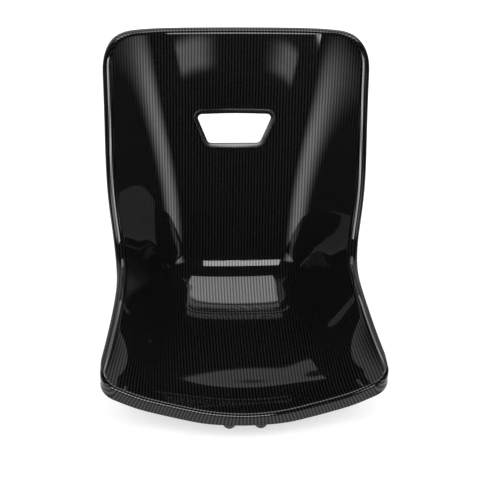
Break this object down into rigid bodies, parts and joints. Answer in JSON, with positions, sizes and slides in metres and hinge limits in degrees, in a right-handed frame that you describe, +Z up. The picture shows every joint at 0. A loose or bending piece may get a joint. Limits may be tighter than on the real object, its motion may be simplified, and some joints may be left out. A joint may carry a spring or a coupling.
{
  "type": "racing seat",
  "caption": "Low-back moulded carbon bucket seat with rolled rim, flared front lip, harness slot in the back and stand-off mounting feet.",
  "frame": {"origin": "centre of the bounding box's footprint, at the bottom of the feet", "axes": "+Z up, the sitter faces -Y, +X is the left-hand side of someone sitting in it"},
  "size_m": [0.498, 0.5702, 0.5007],
  "materials": {
    "carbon_shell": "twill woven carbon fibre laminate under a high-gloss clear coat",
    "raw_laminate": "uncoated carbon fibre laminate, satin from the bag side of the mould",
    "edge_trim": "smooth black push-on edge trim, slight sheen",
    "foot_rubber": "black moulded rubber, fine matte texture",
    "insert_alloy": "turned aluminium, fine tool marks",
    "plated_steel": "zinc plated, slightly dulled"
  },
  "bodies": {
    "root": {"seat_shell": "carbon_shell", "slot_trim": "edge_trim", "slot_doubler": "raw_laminate", "front_mount_pad": "raw_laminate", "rear_mount_pad_left": "raw_laminate", "rear_mount_pad_right": "raw_laminate", "insert_front_left": "insert_alloy", "insert_front_right": "insert_alloy", "insert_rear_left": "insert_alloy", "insert_rear_right": "insert_alloy", "stud_front_left": "plated_steel", "stud_front_right": "plated_steel", "stud_rear_left": "plated_steel", "stud_rear_right": "plated_steel", "washer_front_left": "plated_steel", "washer_front_right": "plated_steel", "washer_rear_left": "plated_steel", "washer_rear_right": "plated_steel", "foot_front_left": "foot_rubber", "foot_front_right": "foot_rubber", "foot_rear_left": "foot_rubber", "foot_rear_right": "foot_rubber"}
  },
  "joints": []
}
